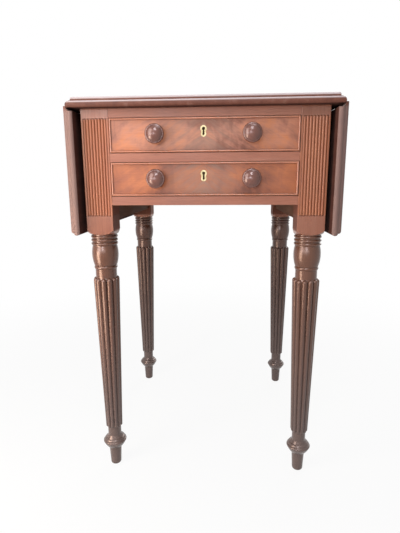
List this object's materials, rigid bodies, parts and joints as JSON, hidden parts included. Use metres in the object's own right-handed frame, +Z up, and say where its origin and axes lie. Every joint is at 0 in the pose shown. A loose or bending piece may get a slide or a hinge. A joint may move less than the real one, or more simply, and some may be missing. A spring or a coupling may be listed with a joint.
{
  "type": "pembroke table",
  "caption": "Drop-leaf side table with a drawer front on slender reeded turned legs, hinged side leaves that hang, swinging support brackets and lockable sliding drawers.",
  "frame": {"origin": "middle of the table's plan on the floor it stands on", "axes": "+Z up, drawers open towards -Y, +X to the right as seen from the drawer side, leaves at -X and +X"},
  "size_m": [0.477, 0.4806, 0.72],
  "materials": {
    "leg_mahogany": "polished, reeded and turned mahogany",
    "top_mahogany": "polished solid mahogany",
    "rail_mahogany": "polished mahogany",
    "drawer_mahogany": "polished figured mahogany",
    "bead_mahogany": "polished mahogany bead",
    "knob_mahogany": "turned and polished mahogany",
    "drawer_oak": "waxed oak lining",
    "carcase_pine": "unpolished pine",
    "fly_beech": "stained beech",
    "brass": "aged brass",
    "iron": "dark iron"
  },
  "bodies": {
    "frame": {"front_left_leg": "leg_mahogany", "front_right_leg": "leg_mahogany", "rear_left_leg": "leg_mahogany", "rear_right_leg": "leg_mahogany", "front_top_rail": "rail_mahogany", "drawer_divider": "rail_mahogany", "front_bottom_rail": "rail_mahogany", "back_rail": "drawer_mahogany", "left_side_rail": "carcase_pine", "right_side_rail": "carcase_pine", "left_fly_rail": "fly_beech", "right_fly_rail": "fly_beech", "left_fly_pin": "iron", "right_fly_pin": "iron", "upper_drawer_runners": "carcase_pine", "lower_drawer_runners": "carcase_pine", "left_kicker": "carcase_pine", "right_kicker": "carcase_pine", "drawer_stops": "carcase_pine", "top_board": "top_mahogany", "top_screws": "iron", "left_hinge_top_plates": "brass", "right_hinge_top_plates": "brass", "hinge_pins": "iron", "hinge_top_screws": "iron", "dummy_drawer_beads": "bead_mahogany", "dummy_drawer_knobs": "knob_mahogany", "dummy_drawer_escutcheons": "brass"},
    "left_leaf": {"left_leaf": "top_mahogany", "left_hinge_leaf_plates": "brass", "left_leaf_screws": "iron"},
    "right_leaf": {"right_leaf": "top_mahogany", "right_hinge_leaf_plates": "brass", "right_leaf_screws": "iron"},
    "left_fly_bracket": {"left_fly_bracket": "fly_beech"},
    "right_fly_bracket": {"right_fly_bracket": "fly_beech"},
    "upper_drawer": {"upper_drawer_front": "drawer_mahogany", "upper_drawer_beads": "bead_mahogany", "upper_drawer_left_side": "drawer_oak", "upper_drawer_right_side": "drawer_oak", "upper_drawer_back": "drawer_oak", "upper_drawer_bottom": "drawer_oak", "upper_drawer_knobs": "knob_mahogany", "upper_drawer_escutcheon": "brass", "upper_drawer_lock_case": "brass", "upper_drawer_lock_screws": "iron"},
    "upper_lock_bolt": {"upper_drawer_lock_bolt": "brass"},
    "lower_drawer": {"lower_drawer_front": "drawer_mahogany", "lower_drawer_beads": "bead_mahogany", "lower_drawer_left_side": "drawer_oak", "lower_drawer_right_side": "drawer_oak", "lower_drawer_back": "drawer_oak", "lower_drawer_bottom": "drawer_oak", "lower_drawer_knobs": "knob_mahogany", "lower_drawer_escutcheon": "brass", "lower_drawer_lock_case": "brass", "lower_drawer_lock_screws": "iron"},
    "lower_lock_bolt": {"lower_drawer_lock_bolt": "brass"}
  },
  "joints": [
    {"name": "left_leaf_hinge", "type": "hinge", "parent": "frame", "child": "left_leaf", "pos_m": [-0.224, 0, 0.7055], "axis": [0, 1, 0], "range_deg": [0, 90]},
    {"name": "right_leaf_hinge", "type": "hinge", "parent": "frame", "child": "right_leaf", "pos_m": [0.224, 0, 0.7055], "axis": [0, -1, 0], "range_deg": [0, 90]},
    {"name": "left_bracket_swing", "type": "hinge", "parent": "frame", "child": "left_fly_bracket", "pos_m": [-0.19775, 0.055, 0.672], "axis": [0, 0, -1], "range_deg": [0, 6]},
    {"name": "right_bracket_swing", "type": "hinge", "parent": "frame", "child": "right_fly_bracket", "pos_m": [0.19775, 0.055, 0.672], "axis": [0, 0, 1], "range_deg": [0, 6]},
    {"name": "upper_drawer_slide", "type": "slide", "parent": "frame", "child": "upper_drawer", "axis": [0, -1, 0], "range_m": [0, 0.3]},
    {"name": "lower_drawer_slide", "type": "slide", "parent": "frame", "child": "lower_drawer", "axis": [0, -1, 0], "range_m": [0, 0.3]},
    {"name": "upper_bolt_throw", "type": "slide", "parent": "upper_drawer", "child": "upper_lock_bolt", "axis": [0, 0, 1], "range_m": [0, 0.006]},
    {"name": "lower_bolt_throw", "type": "slide", "parent": "lower_drawer", "child": "lower_lock_bolt", "axis": [0, 0, 1], "range_m": [0, 0.006]}
  ]
}
